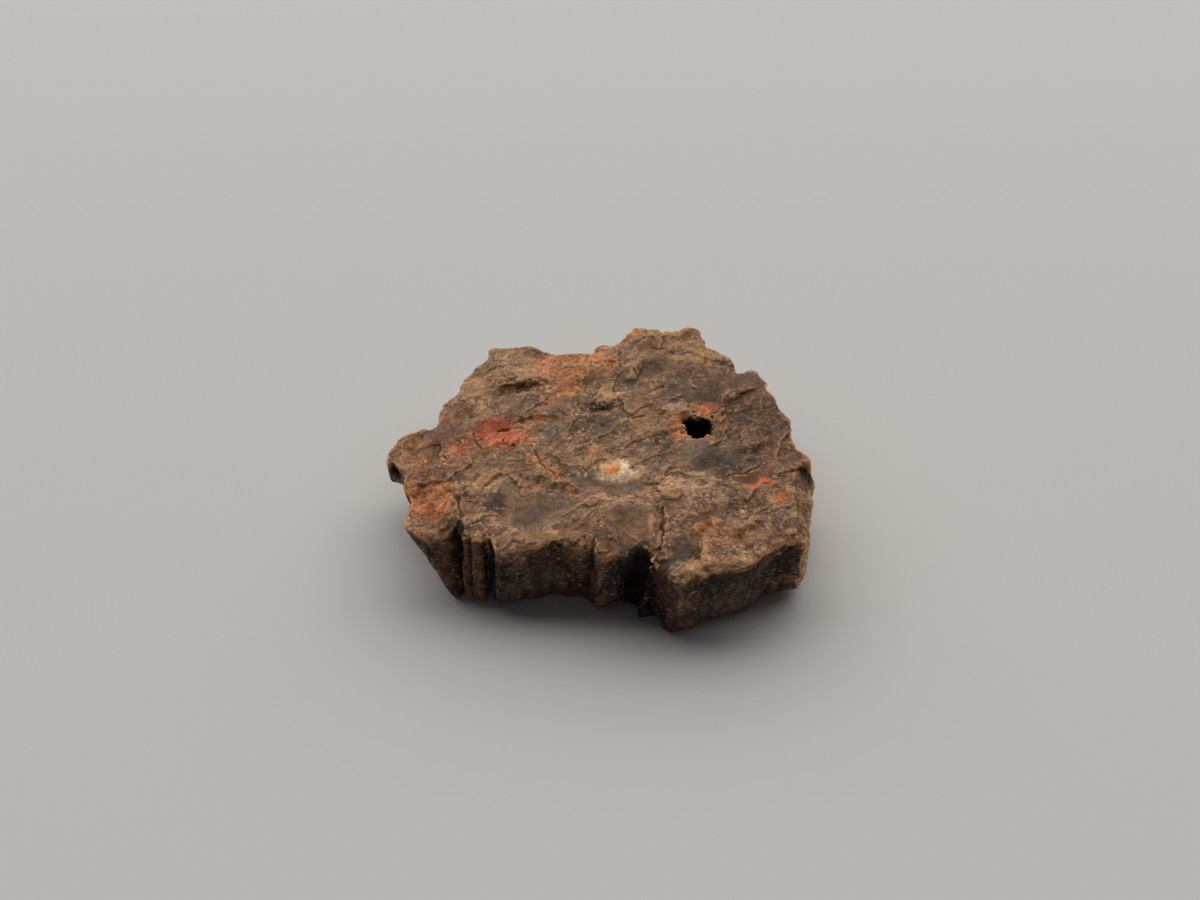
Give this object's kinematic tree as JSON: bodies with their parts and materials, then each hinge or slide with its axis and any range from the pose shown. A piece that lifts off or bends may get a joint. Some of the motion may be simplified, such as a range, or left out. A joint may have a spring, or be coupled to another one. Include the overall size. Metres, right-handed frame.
{
  "type": "petrified wood chunk",
  "caption": "Broken slab of petrified wood with a mottled end-grain face, fluted walls, a blind knot hole and a branch stub; rests on flat worn spots of its underside.",
  "frame": {"origin": "middle of the chunk's box in X and Y, on the plane that it rests on", "axes": "+X along the slab's longest side, -Y out of the fluted front wall, +Z out of the end-grain face"},
  "size_m": [0.0914, 0.082, 0.0175],
  "materials": {
    "petrified_wood": "broken silicified wood, taupe, olive grey and dark brown with red, orange and tan iron stains; waxy where it broke smooth, granular elsewhere"
  },
  "bodies": {
    "root": {"petrified_wood": "petrified_wood"}
  },
  "joints": []
}
